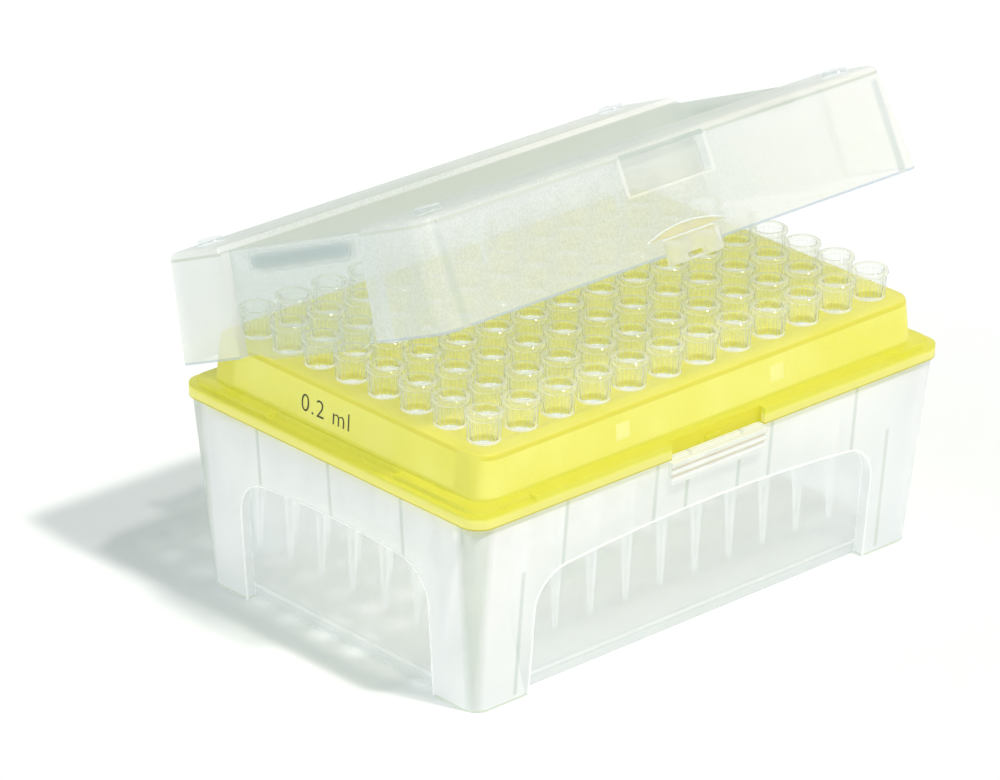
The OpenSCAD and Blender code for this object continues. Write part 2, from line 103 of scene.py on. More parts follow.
def mirrorShare(tree, normal=None, power=5.0, most=0.9):
    # the sheen of a plastic skin: 4% straight on, rising at the edges, and none from within the wall
    inside = addNode(tree, "ShaderNodeNewGeometry")
    normal = normal or inside.outputs["True Normal"]
    edge = addNode(tree, "ShaderNodeLayerWeight", {"Blend": 0.5}, {"Normal": normal})
    rise = addNode(tree, "ShaderNodeMath", {"operation": "POWER", 1: power}, {0: edge.outputs["Facing"]})
    share = addNode(tree, "ShaderNodeMapRange", {"To Min": 0.04, "To Max": most}, {"Value": rise})
    outer = addNode(tree, "ShaderNodeMath", {"operation": "SUBTRACT", 0: 1.0},
                    {1: inside.outputs["Backfacing"]})
    return addNode(tree, "ShaderNodeMath", {"operation": "MULTIPLY"}, {0: share, 1: outer})


def markShare(tree, place, marks, fade):
    # 1 inside any of the marks, fading out over so many millimetres; a mark gives the middle and the half
    # width of its span along each axis that it minds, with absX or absY where the opposite side has it too
    parts = addNode(tree, "ShaderNodeSeparateXYZ", {}, {0: place})
    whole = None
    for mark in marks:
        share = None
        for axis, (middle, half) in mark.items():
            value = parts.outputs[axis[-1].upper()]
            if axis.startswith("abs"):
                value = addNode(tree, "ShaderNodeMath", {"operation": "ABSOLUTE"}, {0: value})
            off = addNode(tree, "ShaderNodeMath", {"operation": "SUBTRACT", 1: middle}, {0: value})
            far = addNode(tree, "ShaderNodeMath", {"operation": "ABSOLUTE"}, {0: off})
            near = addNode(tree, "ShaderNodeMapRange",
                           {"From Min": half, "From Max": half + fade, "To Min": 1, "To Max": 0},
                           {"Value": far})
            share = near if share is None else addNode(
                tree, "ShaderNodeMath", {"operation": "MULTIPLY"}, {0: share, 1: near})
        whole = share if whole is None else addNode(
            tree, "ShaderNodeMath", {"operation": "MAXIMUM"}, {0: whole, 1: share})
    return whole


# what every frosted wall has unless its own look says otherwise, in millimetres; each mark is a tone, the
# places that have it and the fade round them
frostUsual = {"cloudSize": 25, "fleck": 0.1, "fleckFrom": 0.38, "fleckTo": 0.62, "grainDepth": 0.08,
              "gleamRoughness": 0.3, "sheenPower": 12.0, "marks": []}


def frostedPlastic(name, look):
    # polypropylene moulded in a spark-eroded die: matt and milky, a little of what is behind it shows through
    # and light from behind makes it glow; its grain is too fine to show, so it is drawn coarser
    look = {**frostUsual, **look}
    material, tree = startMaterial(name)
    place = inMillimetres(tree)
    grain = addNode(tree, "ShaderNodeTexNoise", {"Scale": 1 / look["grainSize"], "Detail": 1.0},
                    {"Vector": place})
    cloud = addNode(tree, "ShaderNodeTexNoise", {"Scale": 1 / look["cloudSize"], "Detail": 1.0},
                    {"Vector": place})
    bump = addNode(tree, "ShaderNodeBump", {"Strength": look["grain"], "Distance": look["grainDepth"] * mm},
                   {"Height": grain})
    fleck = addNode(tree, "ShaderNodeMapRange", {"From Min": look["fleckFrom"], "From Max": look["fleckTo"]},
                    {"Value": grain})
    share = addNode(tree, "ShaderNodeMix", {0: look["fleck"]}, {"A": cloud, "B": fleck})
    tone = addNode(tree, "ShaderNodeMix",
                   {"data_type": "RGBA", colorA: linear(look["light"]), colorB: linear(look["dark"])},
                   {0: share})
    place = asMarked(tree, place, look)
    for color, marks, fade in look["marks"]:
        tone = addNode(tree, "ShaderNodeMix", {"data_type": "RGBA", colorB: linear(color)},
                       {0: markShare(tree, place, marks, fade), colorA: tone.outputs[colorOut]})
    shade = tone.outputs[colorOut]
    skin = addNode(tree, "ShaderNodeBsdfPrincipled", {"Roughness": look["roughness"], "IOR": polypropylene},
                   {"Base Color": shade, "Normal": bump})
    if "gleam" in look:
        gleam = addNode(tree, "ShaderNodeBsdfGlossy", {"Roughness": look["gleamRoughness"]}, {"Color": shade})
        skin = addNode(tree, "ShaderNodeMixShader", {0: look["gleam"]}, {1: skin, 2: gleam})
    if "lift" in look:
        # painted glow: a faint emission stands in for light carried along inside the wall that comes out at
        # its edges
        led = addNode(tree, "ShaderNodeEmission", {"Strength": look["lift"]}, {"Color": shade})
        skin = addNode(tree, "ShaderNodeAddShader", {}, {0: skin, 1: led})
    glow = addNode(tree, "ShaderNodeBsdfTranslucent", {}, {"Color": shade})
    through = addNode(tree, "ShaderNodeBsdfTransparent", {"Color": linear(look["tint"])})
    body = addNode(tree, "ShaderNodeMixShader", {0: look["glow"]}, {1: skin, 2: glow})
    both = addNode(tree, "ShaderNodeMixShader", {}, {0: openShare(tree, look), 1: body, 2: through})
    # the sheen's tint is painted shade: a grey tint greys the wall where it turns away
    if "sheen" in look:
        shadedGloss = addNode(tree, "ShaderNodeBsdfGlossy",
                        {"Roughness": look["roughness"], "Color": linear(look["sheenTint"])})
        sheen = mirrorShare(tree, None, look["sheenPower"], look["sheen"])
        both = addNode(tree, "ShaderNodeMixShader", {}, {0: sheen, 1: both, 2: shadedGloss})
    addNode(tree, "ShaderNodeOutputMaterial", {}, {"Surface": both})
    return material


clearUsual = {"wavesPerMm": 0.12, "waveStrength": 0.04, "waveDepth": 0.1, "cloudsPerMm": 0.06,
              "markCloses": 0.6, "bounced": 0.95, "marks": []}


def clearPlastic(name, look):
    # polypropylene moulded against polished steel: an almost clear wall with a faint haze and a glossy skin
    look = {**clearUsual, **look}
    material, tree = startMaterial(name)
    place = inMillimetres(tree)
    wave = addNode(tree, "ShaderNodeTexNoise", {"Scale": look["wavesPerMm"], "Detail": 1.0},
                   {"Vector": place})
    bump = addNode(tree, "ShaderNodeBump",
                   {"Strength": look["waveStrength"], "Distance": look["waveDepth"] * mm}, {"Height": wave})
    cloud = addNode(tree, "ShaderNodeTexNoise", {"Scale": look["cloudsPerMm"], "Detail": 1.0},
                    {"Vector": place})
    tone = addNode(tree, "ShaderNodeMix",
                   {"data_type": "RGBA", colorA: linear(look["haze"]), colorB: linear(look["hazeDark"])},
                   {0: cloud})
    share = openShare(tree, look)
    place = asMarked(tree, place, look)
    for color, marks, fade in look["marks"]:
        mark = markShare(tree, place, marks, fade)
        tone = addNode(tree, "ShaderNodeMix", {"data_type": "RGBA", colorB: linear(color)},
                       {0: mark, colorA: tone.outputs[colorOut]})
        left = addNode(tree, "ShaderNodeMath", {"operation": "MULTIPLY_ADD", 1: -look["markCloses"], 2: 1.0},
                       {0: mark})
        share = addNode(tree, "ShaderNodeMath", {"operation": "MULTIPLY"}, {0: share, 1: left})
    shade = tone.outputs[colorOut]
    front = addNode(tree, "ShaderNodeBsdfDiffuse", {}, {"Color": shade})
    behind = addNode(tree, "ShaderNodeBsdfTranslucent", {}, {"Color": shade})
    haze = addNode(tree, "ShaderNodeMixShader", {0: 0.5}, {1: front, 2: behind})
    gloss = addNode(tree, "ShaderNodeBsdfGlossy", {"Roughness": look["roughness"], "Color": (1, 1, 1, 1)},
                    {"Normal": bump})
    through = addNode(tree, "ShaderNodeBsdfTransparent", {"Color": linear(look["tint"])})
    body = addNode(tree, "ShaderNodeMixShader", {}, {0: share, 1: haze, 2: through})
    both = addNode(tree, "ShaderNodeMixShader", {}, {0: mirrorShare(tree, bump), 1: body, 2: gloss})
    addNode(tree, "ShaderNodeOutputMaterial", {}, {"Surface": both})
    return material


def addObject(name, data):
    thing = bpy.data.objects.new(name, data)
    bpy.context.scene.collection.objects.link(thing)
    return thing


def mergedCopy(name):
    # a moulding's loose triangles joined up again, with each flat face whole
    bm = bmesh.new()
    bm.from_mesh(nodes[name].data)
    bmesh.ops.remove_doubles(bm, verts=bm.verts, dist=0.002 * mm)
    bmesh.ops.dissolve_limit(bm, angle_limit=math.radians(0.4), verts=bm.verts, edges=bm.edges)
    return bm


def roundedCopy(name, look):
    # the moulding's own solid with its edges rounded off
    mesh = bpy.data.meshes.new(name + "_moulding")
    piece = addObject(name + "_moulding", mesh)
    bm = mergedCopy(name)
    sharp = [e for e in bm.edges if len(e.link_faces) == 2 and e.calc_length() > look["shortest"] * mm
             and e.calc_face_angle(0) > math.radians(look["sharpAngle"])]
    made = bmesh.ops.bevel(bm, geom=sharp, affect="EDGES", offset=look["edge"] * mm, offset_type="OFFSET",
                           segments=look["segments"], profile=0.5, clamp_overlap=True, material=-1)
    for face in bm.faces:
        face.smooth = True
        face.material_index = 0
    for face in made["faces"]:
        face.material_index = 1
    bm.to_mesh(mesh)
    bm.free()
    mesh.set_sharp_from_angle(angle=math.radians(40))
    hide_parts(name)
    return piece


def paint(piece, materials, choose):
    # the first material is the wall's, the second the rounded edges', and choose names any other face's
    for material in materials.values():
        piece.data.materials.append(material)
    order = list(materials)
    for face in piece.data.polygons:
        if face.material_index != order.index("edge"):
            face.material_index = order.index(choose(face.center / mm, face.normal))


def turnedInwards(centre, normal, least):
    # whether a face looks towards the middle of the box
    return any(normal[i] * centre[i] < -least * abs(centre[i]) for i in (0, 1))


def middleOf(edge):
    return (edge.verts[0].co + edge.verts[1].co) / 2 / mm


beadUsual = {"tint": "#fdfefe", "roughness": 0.2, "glow": 0.3, "lamps": 0.8, "bounced": 0.9, "grain": 0.1,
             "grainSize": 0.6}


def rimTube(name, owner, look, chosen):
    # a fine round bead along the chosen edges of a moulding
    bm = mergedCopy(owner)
    others = [e for e in bm.edges if len(e.link_faces) != 2 or not chosen(e)]
    bmesh.ops.delete(bm, geom=others, context="EDGES")
    bmesh.ops.delete(bm, geom=list(bm.faces), context="FACES_ONLY")
    print("  %d edges under %s" % (len(bm.edges), name))
    mesh = bpy.data.meshes.new(name)
    bm.to_mesh(mesh)
    bm.free()
    tube = addObject(name, mesh)
    for other in bpy.context.selected_objects:
        other.select_set(False)
    bpy.context.view_layer.objects.active = tube
    tube.select_set(True)
    bpy.ops.object.convert(target="CURVE")
    tube.data.bevel_depth = look["radius"] * mm
    tube.data.bevel_resolution = look["sides"]
    tube.data.use_fill_caps = True
    bpy.ops.object.convert(target="MESH")
    for face in tube.data.polygons:
        face.use_smooth = True
    tube.data.materials.append(frostedPlastic(name + " white", {**beadUsual, **look}))
    return tube


# base: frosted walls, arched panels left clear

longWalls, endWalls = {"absY": (38, 3.0)}, {"absX": (60, 4)}
# painted shade where the ribs stand behind the walls
ribShadeLines = [{"absX": (x, 0.22), **longWalls} for x in (6.7, 14.8, 37.4)]
ribShadeLines += [{"absX": (47.2, 0.25), "z": (14, 12.6), **longWalls}]
ribShadeLines += [{"y": (y, 0.22), **endWalls} for y in (-20.1, 0, 20.1)]
# painted warm shade in the catch's grooves
catchGrooveShade = [{"z": (z, 0.2), "absX": (0, 11.9), "y": (-40, 3)} for z in (35.7, 37.2)]

baseLook = {
    "edge": 0.45, "segments": 3, "sharpAngle": 28, "shortest": 0.15,
    # outer faces at the foot, and how far they lean out over the walls' height
    "side": 37.5, "end": 57, "sideLean": 3.3, "endLean": 2.6, "height": 39, "wall": 1.35,
    # the arches' reach from the middle, and how deep the panels lie in them
    "archFoot": 0.5, "archTop": 28.5, "sideArch": 44.5, "endArch": 27.5,
    "sidePanel": (1.8, 4.2), "endPanel": (1.4, 3.6),
    # milky walls, with painted shade: a little greyer at the corners and where a rib stands behind them
    "frost": {"light": "#fafbfa", "dark": "#f3f6f5", "tint": "#fcfdfe", "roughness": 0.42, "glow": 0.3,
              "see": 0.17, "lamps": 0.4, "bounced": 0.9, "grain": 0.3, "grainSize": 0.5,
              "marks": [("#d8dfd6", [{"absX": (60, 3.2), "absY": (40, 3.2)}], 2.0),  # corners, painted shade
                        ("#eef2f3", [{"x": (60, 8), "y": (-39, 4)}], 12),  # painted shade, a little darker and bluer at the right front
                        # painted shade where a rib stands behind the wall
                        ("#dde4de", ribShadeLines, 0.4),
                        # painted warm shade in the catch's grooves
                        ("#e6d9bd", catchGrooveShade, 0.3),
                        ("#dde6d4", [{"z": (0, 0.35)}], 0.3)]},  # painted shade along the foot
    # bright lines where the walls' light comes out, painted: white, with a faint glow
    "bright": {"light": "#ffffff", "dark": "#fcfdfd", "tint": "#fdfefe", "roughness": 0.3, "glow": 0.2,
               "see": 0.02, "lamps": 0.4, "bounced": 0.85, "grain": 0.1, "grainSize": 0.6, "gleam": 0.15,
               "lift": 0.4},
    # more open than the outer side, and more even
    "inner": {"light": "#fafcfd", "dark": "#f3f7f8", "tint": "#fcfdfe", "roughness": 0.42, "glow": 0.4,
              "see": 0.3, "lamps": 0.5, "bounced": 0.9, "grain": 0.2, "grainSize": 0.5},
    # clear panels, with a painted highlight: a white line where they meet the floor
    "clear": {"haze": "#ffffff", "hazeDark": "#f8fafc", "tint": "#fefeff", "see": 0.57, "lamps": 0.82,
              "roughness": 0.06, "marks": [("#ffffff", [{"z": (2.7, 0.25)}], 0.3)]}}

baseClear = clearPlastic("polished clear polypropylene", baseLook["clear"])
baseMaterials = {"frost": frostedPlastic("frosted polypropylene", baseLook["frost"]),
                 "edge": frostedPlastic("moulded edge with painted glow", baseLook["bright"]),
                 "clear": baseClear,
                 "inner": frostedPlastic("inner side of the walls", baseLook["inner"])}
print("base")
base = roundedCopy("base", baseLook)


def depthIn(x, y, z):
    # how far a point lies within the leaning outer faces of the long sides and of the ends
    return (baseLook["side"] + baseLook["sideLean"] * z / baseLook["height"] - abs(y),
            baseLook["end"] + baseLook["endLean"] * z / baseLook["height"] - abs(x))


def baseRegion(centre, normal):
    x, y, z = centre
    sideIn, endIn = depthIn(x, y, z)
    if min(sideIn, endIn) > baseLook["wall"] and turnedInwards((x, y), normal, 0.1):
        return "inner"
    if z > baseLook["archTop"] or z < baseLook["archFoot"]:
        return "frost"
    nearest, deepest = baseLook["sidePanel"]
    if abs(normal.y) > 0.95 and nearest < sideIn < deepest and abs(x) < baseLook["sideArch"]:
        return "clear"
    nearest, deepest = baseLook["endPanel"]
    if abs(normal.x) > 0.95 and nearest < endIn < deepest and abs(y) < baseLook["endArch"]:
        return "clear"
    return "frost"


paint(base, baseMaterials, baseRegion)
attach(base, "base")

# bright rounded rims round the four arched panels, a painted highlight: white beads with a faint glow

rimLook = {"radius": 0.22, "sides": 3, "light": "#ffffff", "dark": "#fafcfb", "see": 0.2, "lift": 0.12,
           "slack": 0.1, "within": 0.5}


def onRim(edge):
    # an edge of an arch in the outer face of its wall
    x, y, z = middleOf(edge)
    sideIn, endIn = depthIn(x, y, z)
    within, slack = rimLook["within"], rimLook["slack"]
    onSide = abs(sideIn) < within and abs(x) < baseLook["sideArch"] + slack
    onEnd = abs(endIn) < within and abs(y) < baseLook["endArch"] + slack
    return ((onSide or onEnd) and baseLook["archFoot"] + slack < z < baseLook["archTop"]
            and edge.calc_face_angle(0) > math.radians(40))


print("arch rims")
rims = rimTube("arch_rims", "base", rimLook, onRim)
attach(rims, "base")

# tray: one yellow moulding

# painted shade along the block's top edge
blockTopShade = [{"z": (50.5, 0.3), "absX": (0, 56.4), "absY": (0, 40)}]
# painted light, paler where the wall is thinned from inside
thinnedWallLight = [{"x": (x, 1.6), "z": (46.6, 1.5), "absY": (38, 3.2)} for x in (18.3, -21.3)]
trayLook = {
    "edge": 0.3, "segments": 2, "sharpAngle": 28, "shortest": 0.15,
    # what lies within these, and under the plate, is seen only from inside the box
    "skirtEnd": 55.3, "skirtSide": 37.6, "plateUnder": 50,
    # soft yellow walls, mottled where their thickness varies, with painted lines at each change of level,
    # mostly painted shade, and paler painted light on the flange's outer face
    "yellow": {"light": "#f8f588", "dark": "#ece950", "cloudSize": 11, "tint": "#fcfcf0", "roughness": 0.3,
               "glow": 0.3, "see": 0.04, "lamps": 0.3, "bounced": 0.1, "grain": 0.12, "grainSize": 0.6,
               "marks": [("#e6e448", [{"z": (42.0, 0.7)}], 0.5),  # painted shade at the foot of the block
                         ("#f4ef88", [{"z": (39.9, 0.7)}], 0.3),  # painted light: the flange's outer face paler
                         # painted shade along the block's top edge
                         ("#e4dd48", blockTopShade, 0.25),
                         # painted shade at the block's corners
                         ("#e8e45c", [{"absY": (33.6, 2.2), "absX": (56, 1.6), "z": (47, 3.6)}], 1.4),
                         ("#cfc62e", [{"z": (39.0, 0.15)}], 0.2),  # painted shade where the flange lies on the base
                         ("#f9f799", thinnedWallLight, 0.3),  # painted light where the wall is thinned from inside
                         ("#e4dc24", [{"absX": (0, 12), "y": (-39.6, 0.9), "z": (40.5, 1.5)}], 0.3)]},  # painted shade, a deeper yellow in the notch
    # pale below, where the white base lights it
    "under": {"light": "#fcfcf4", "dark": "#f8f9ee", "tint": "#fcfcf0", "roughness": 0.4, "glow": 0.05,
              "see": 0.02, "lamps": 0.36, "bounced": 0.3, "grain": 0.12, "grainSize": 0.6},
    # deeper and glossier where the edges gather light
    "line": {"light": "#f0ea60", "dark": "#eae450", "tint": "#fcfcf0", "roughness": 0.25, "glow": 0.3,
             "see": 0.02, "lamps": 0.3, "bounced": 0.1, "grain": 0.05, "grainSize": 0.6, "gleam": 0.25,
             # painted shade along the block's top edge
             "marks": [("#dcd440", blockTopShade, 0.25)]}}
trayMaterials = {"yellow": frostedPlastic("translucent yellow polypropylene", trayLook["yellow"]),
                 "edge": frostedPlastic("bright lines of the tray's edges", trayLook["line"]),
                 "under": frostedPlastic("pale underside of the tray", trayLook["under"])}
print("tray")
tray = roundedCopy("tip_tray", trayLook)


def trayRegion(centre, normal):
    # everything turned inwards or down is seen only from inside the box
    x, y, z = centre
    within = abs(x) < trayLook["skirtEnd"] and abs(y) < trayLook["skirtSide"] and z < trayLook["plateUnder"]
    return "under" if normal.z < -0.5 or within and turnedInwards((x, y), normal, 0.5) else "yellow"


paint(tray, trayMaterials, trayRegion)
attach(tray, "base")

# plain volume mark, printed on the short side of the block

markLook = {"text": "0.2 ml", "size": 5.0, "spacing": 1.12, "thinner": 0.05, "middle": 4.6, "height": 46.0,
            "stand": 0.05, "ink": "#2c2e22", "worn": "#45472f", "wearPerMm": 1.5,
            # the block's end wall at its foot, and how far it leans in over its height
            "foot": 42.3, "end": 56.2, "lean": 0.6, "over": 8.9}
print("printed mark")
curve = bpy.data.curves.new("printed_mark", "FONT")
curve.body = markLook["text"]
curve.size = markLook["size"] * mm
curve.space_character = markLook["spacing"]
curve.offset = -markLook["thinner"] * mm
curve.align_x, curve.align_y = "CENTER", "CENTER"
curve.resolution_u = 4
written = addObject("printed_mark_curve", curve)
bpy.context.view_layer.update()
mesh = bpy.data.meshes.new_from_object(written.evaluated_get(bpy.context.evaluated_depsgraph_get()))
bpy.data.objects.remove(written)
bpy.data.curves.remove(curve)
leanIn = markLook["lean"] * (markLook["height"] - markLook["foot"]) / markLook["over"]
spot = Vector((-markLook["end"] - markLook["stand"] + leanIn, markLook["middle"], markLook["height"])) * mm
slope = math.atan2(markLook["lean"], markLook["over"])
mesh.transform(Matrix.Translation(spot) @ Matrix.Rotation(slope, 4, "Y")
               @ Matrix.Rotation(math.radians(-90), 4, "Z") @ Matrix.Rotation(math.radians(90), 4, "X"))
ink, tree = startMaterial("dark printing ink")  # pad printed: flat, and a little worn
place = inMillimetres(tree)
wear = addNode(tree, "ShaderNodeTexNoise", {"Scale": markLook["wearPerMm"], "Detail": 2.0}, {"Vector": place})
tone = addNode(tree, "ShaderNodeMix",
               {"data_type": "RGBA", colorA: linear(markLook["ink"]), colorB: linear(markLook["worn"])},
               {0: wear})
skin = addNode(tree, "ShaderNodeBsdfPrincipled", {"Roughness": 0.5, "IOR": 1.45},
               {"Base Color": tone.outputs[colorOut]})
addNode(tree, "ShaderNodeOutputMaterial", {}, {"Surface": skin})
mesh.materials.append(ink)
printed = addObject("printed_mark", mesh)
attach(printed, "base")

# lid: frosted, with clear windows, pocket, latch and studs

hinge = frame["joints"][0]
pivot = Vector(hinge["pos_m"]) / mm
lidTurn = math.radians(-hinge["range_deg"][0])
shut = Matrix.Rotation(lidTurn, 3, "X")
lidRim = Vector((0, 0, 42.5))  # the lid's lower rim when it is shut


def asShut(point):
    # where a point of the lid lies when it is shut, from its lower rim
    return shut @ (point - pivot) + pivot - lidRim


lidShift = tuple(asShut(Vector((0, 0, 0))))
frontWall = (-37, 4)
pocketHighlight = [{"absX": (10.8, 0.3), "y": frontWall, "z": (16, 3.4)},
               {"absX": (0, 10.9), "y": frontWall, "z": (12.5, 0.35)}]
lidLook = {
    "edge": 0.3, "segments": 2, "sharpAngle": 17, "shortest": 0.15,
    # grip windows, sunk into the leaning ends
    "end": 60.7, "endLean": 0.09,
    "gripDepth": 1.4, "gripWindow": 21, "gripSide": 24, "gripFrom": 50, "gripTop": 19,
    # pocket in the front
    "pocketHalf": 10.4, "pocketFoot": 11.5, "pocketTop": 19.8, "pocketBack": -30, "pocketFront": -39.2,
    # thumb scoop, and the latch tab that hangs from it
    "scoopHalf": 10.6, "scoopBack": -37, "scoopTop": 5.2, "scoopRim": 0.5,
    "tabHalf": 6.8, "tabFront": -38.5, "tabFoot": 0.2, "tabTop": 1.5,
    "studAt": 51.5, "studHalf": 3, "studFoot": 21,
    # matt and sparkling; painted light makes it white at the ends, and painted shade draws a bluish line at
    # the rim and a green one under the top
    "frost": {"light": "#f3f6f7", "dark": "#dbe2e2", "fleck": 0.5, "tint": "#fcfdfd", "roughness": 0.4,
              "glow": 0.5, "see": 0.32, "lamps": 0.6, "bounced": 0.85, "grain": 0.8, "grainSize": 0.45,
              # the sheen's blue-grey tint is painted shade where the walls turn away
              "turn": lidTurn, "shift": lidShift, "sheen": 0.6, "sheenTint": "#bccad0",
              "marks": [("#fcfeff", [{"x": (63, 3)}], 60),  # painted light towards the right end
                        ("#fafcff", [{"x": (-62, 3), "y": (34, 9)}], 12),  # painted light at the left back corner
                        ("#ffffff", [{"x": (48, 12), "z": (22, 1.5)}], 45),  # painted highlight on the right part of the top
                        ("#d9e0d6", [{"z": (19.6, 0.16)}], 0.25),  # painted shade under the top, where the top plate joins the wall
                        ("#c6d4ea", [{"z": (0, 0.3)}], 0.3),  # painted shade along the lower rim
                        ("#dce4e6", [{"absX": (55.5, 0.5), "y": (-37, 5), "z": (9, 9)}], 0.8),  # painted shade on the front corners
                        # painted highlight round the pocket
                        ("#ffffff", pocketHighlight, 0.25),
                        # painted shade at the pocket's top
                        ("#c4d0cc", [{"absX": (0, 10.4), "y": frontWall, "z": (19.7, 0.3)}], 0.3)]},
    # painted shade: greyer, because these walls face each other
    "pocket": {"light": "#e2e6e4", "dark": "#dae0dd", "tint": "#fcfdfd", "roughness": 0.3, "glow": 0.4,
               "see": 0.25, "lamps": 0.6, "bounced": 0.85, "grain": 0.8, "grainSize": 0.45},
    # thin and smooth, so the yellow tray behind warms it
    "scoop": {"light": "#faf6ea", "dark": "#f6f0dc", "tint": "#fdfbf4", "roughness": 0.2, "glow": 0.5,
              "see": 0.45, "lamps": 0.6, "bounced": 0.85, "grain": 0.1, "grainSize": 0.45},
    # painted shade: a blue-grey line along every edge
    "line": {"light": "#a2b3b9", "dark": "#98aab1", "tint": "#f4f8fc", "roughness": 0.25, "glow": 0.3,
             "see": 0.1, "lamps": 0.6, "bounced": 0.85, "grain": 0.1, "grainSize": 0.6, "gleam": 0.1},
    # clear windows, with a band of painted grey shade across them near the top
    "clear": {"haze": "#d6dee0", "hazeDark": "#ccd6d8", "tint": "#fbfdfe", "see": 0.72, "lamps": 0.88,
              "roughness": 0.07, "turn": lidTurn, "shift": lidShift,
              "marks": [("#c4d1d6", [{"z": (17.0, 0.6), "y": (0, 14.0)}], 1.8)]}}
lidMaterials = {"frost": frostedPlastic("spark-eroded frosted polypropylene", lidLook["frost"]),
                "edge": frostedPlastic("pale blue gleam in the lid's edges", lidLook["line"]),
                "clear": clearPlastic("polished clear lid polypropylene", lidLook["clear"]),
                "pocket": frostedPlastic("grey gleam in the lid's pocket", lidLook["pocket"]),
                "scoop": frostedPlastic("warm thin wall of the thumb scoop", lidLook["scoop"]),
                "tab": baseClear}
print("lid")
lid = roundedCopy("lid", lidLook)


def lidRegion(centre, normal):
    x, y, z = asShut(centre)
    nx, ny, nz = shut @ normal
    window = lidLook["end"] - lidLook["endLean"] * z - lidLook["gripDepth"]
    if abs(nx) > 0.9 and abs(y) < lidLook["gripWindow"] and abs(x) < window:
        return "clear"
    if (abs(x) > lidLook["gripFrom"] and abs(y) < lidLook["gripSide"] and z < lidLook["gripTop"]
            and abs(ny) > 0.4):
        return "pocket"
    if (lidLook["pocketFront"] < y < lidLook["pocketBack"] and abs(x) < lidLook["pocketHalf"]
            and lidLook["pocketFoot"] < z < lidLook["pocketTop"] and abs(ny) > 0.6):
        return "pocket"
    if y < lidLook["scoopBack"] and abs(x) < lidLook["scoopHalf"] and z < lidLook["scoopTop"]:
        onTab = abs(x) < lidLook["tabHalf"] and y < lidLook["tabFront"] and z < lidLook["tabTop"]
        return "tab" if z < lidLook["tabFoot"] or onTab and abs(nz) < 0.5 else "scoop"
    if z > lidLook["studFoot"] and abs(abs(x) - lidLook["studAt"]) < lidLook["studHalf"]:
        return "clear"
    return "frost"


paint(lid, lidMaterials, lidRegion)
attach(lid, "lid")


def onScoop(edge):
    # the border between the thumb scoop and the wall round it
    sides = sorted(lidRegion(f.calc_center_median() / mm, f.normal) for f in edge.link_faces)
    return sides == ["frost", "scoop"] and asShut(middleOf(edge)).z > lidLook["scoopRim"]


# a painted highlight along the scoop's border: a fine pale bead with a faint glow
scoopRim = rimTube("scoop_rim", "lid", {"radius": 0.16, "sides": 2, "light": "#f2f8fc", "dark": "#e8f0f4",
                                        "see": 0.1, "lift": 0.1}, onScoop)
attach(scoopRim, "lid")

# tips: one turned profile, ribbed round the collar, set out eight to a column

tipLook = {
    "pitch": 9.0, "columns": 12, "rows": 8, "top": 56.9, "steps": 48, "ribOut": 0.1,
    "turnByColumn": 0.7, "turnByRow": 1.3,  # radians, so that no two neighbours catch the light alike
    # radius and height: up the inner wall, over the rim, down the collar and the taper, and up the bore
    "profile": [(2.7, -4.2), (2.72, -0.25), (2.85, -0.05), (3.05, 0.0), (3.45, 0.0), (3.6, -0.15),
                (3.62, -0.75), (3.5, -0.95), (3.24, -1.15), (3.2, -1.25), (3.08, -4.95), (3.1, -5.05),
                (3.15, -5.2), (3.15, -5.65), (3.1, -5.7), (2.5, -5.72), (1.3, -34.0), (0.5, -49.2),
                (0.42, -49.3), (0.26, -49.3), (0.26, -49.1), (0.9, -34.0), (2.06, -7.7), (2.1, -7.5)],
    "ribs": (-4.9, -1.3), "ribRadius": 3, "ribFace": 3.17, "rimFoot": -1.2, "rimRadius": 2.66,
    "collarFoot": -5.0, "footRadius": 2.6, "taperTop": -8,
    # polypropylene moulded thin and clear: its thick places gather white light, and the wall between them is
    # next to invisible; thin and edge say how white a place is face on and edge on, and lamps how open it is
    "materials": {
        "clear collar wall": {"color": "#fcfefc", "tint": "#ffffff", "thin": 0.04, "edge": 0.9, "power": 3.0,
                              "gloss": 3.0, "lamps": 1.0},
        "thick clear rim": {"color": "#f6f7f0", "tint": "#fdfefb", "thin": 0.18, "edge": 0.9, "power": 1.5,
                            "gloss": 5.0, "lamps": 0.97},
        "white foot of the collar": {"color": "#ffffff", "tint": "#ffffff", "thin": 0.65, "edge": 1.0,
                                     "power": 1.0, "gloss": 3.0, "lamps": 0.92},
        "ribs of the collar": {"color": "#fdfefc", "tint": "#fdfefc", "thin": 0.14, "edge": 0.95, "power": 2.0,
                               "gloss": 3.0, "lamps": 0.98},
        # the tapered body's lift is a painted glow that brightens it
        "clear tapered body": {"color": "#fdfeff", "tint": "#ffffff", "thin": 0.03, "edge": 1.0, "power": 1.2,
                               "gloss": 6.0, "lamps": 1.0, "lift": 0.3}},
    # the gloss is tinted grey: painted shade along the tips' outlines
    "flowSize": 2.0, "flowStrength": 0.2, "flowDepth": 0.2, "roughness": 0.06, "shadedGloss": "#b4beb8"}


def tipRegion(centre):
    # the number of a face's material in tipLook
    out = centre.xy.length
    if centre.z > tipLook["rimFoot"] and out > tipLook["rimRadius"]:
        return 1
    if centre.z < tipLook["collarFoot"] and out > tipLook["footRadius"]:
        return 2
    if centre.z > tipLook["collarFoot"] and out > tipLook["ribFace"]:
        return 3
    return 4 if centre.z < tipLook["taperTop"] else 0


def isRib(centre):
    # every other face round the collar
    low, high = tipLook["ribs"]
    step = math.floor(math.atan2(centre.y, centre.x) / math.tau * tipLook["steps"])
    return low < centre.z < high and centre.xy.length > tipLook["ribRadius"] and step % 2 == 1


